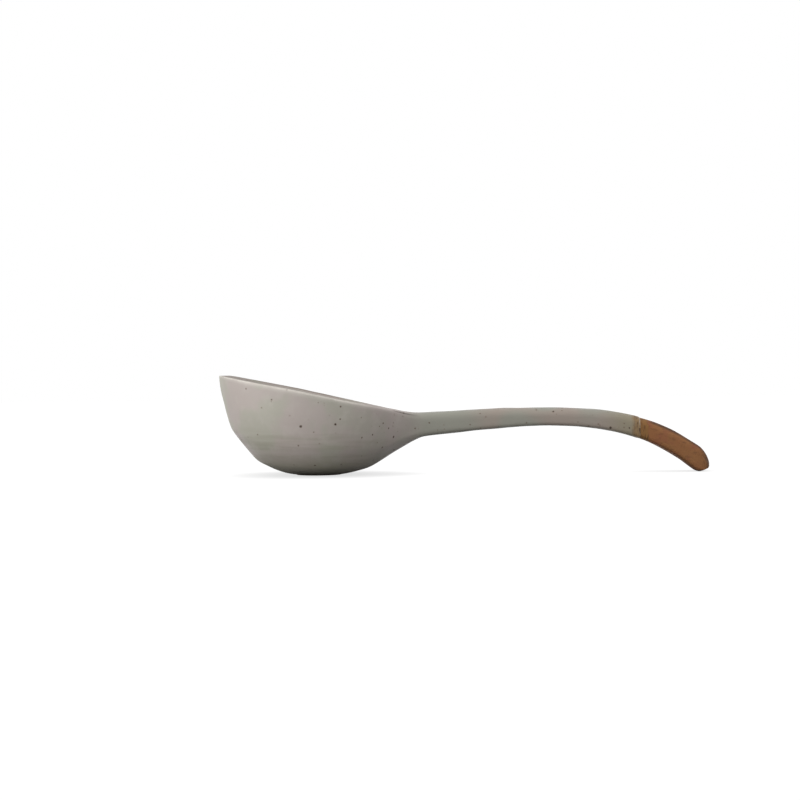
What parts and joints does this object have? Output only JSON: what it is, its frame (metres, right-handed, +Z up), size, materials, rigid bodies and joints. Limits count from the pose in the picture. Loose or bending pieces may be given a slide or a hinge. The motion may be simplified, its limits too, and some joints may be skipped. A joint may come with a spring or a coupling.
{
  "type": "soup spoon",
  "caption": "Deep hand-built stoneware soup spoon with a thick sloping rim, a small bare foot and an arched handle whose unglazed tip rests on the table.",
  "frame": {"origin": "centre of the bare foot under the bowl, on the table", "axes": "+X along the handle, from the bowl to the tip; +Z up, square to the foot; the XZ plane is the plane of symmetry"},
  "size_m": [0.1998, 0.072, 0.041],
  "materials": {
    "bare_clay": "toasted unglazed stoneware, matt and slightly gritty",
    "dried_slip": "fired slip, matt",
    "speckled_glaze": "warm grey satin glaze with dark iron specks"
  },
  "bodies": {
    "root": {"bowl": "bare_clay", "handle": "bare_clay", "luting_slip": "dried_slip", "glaze_coat": "speckled_glaze"}
  },
  "joints": []
}
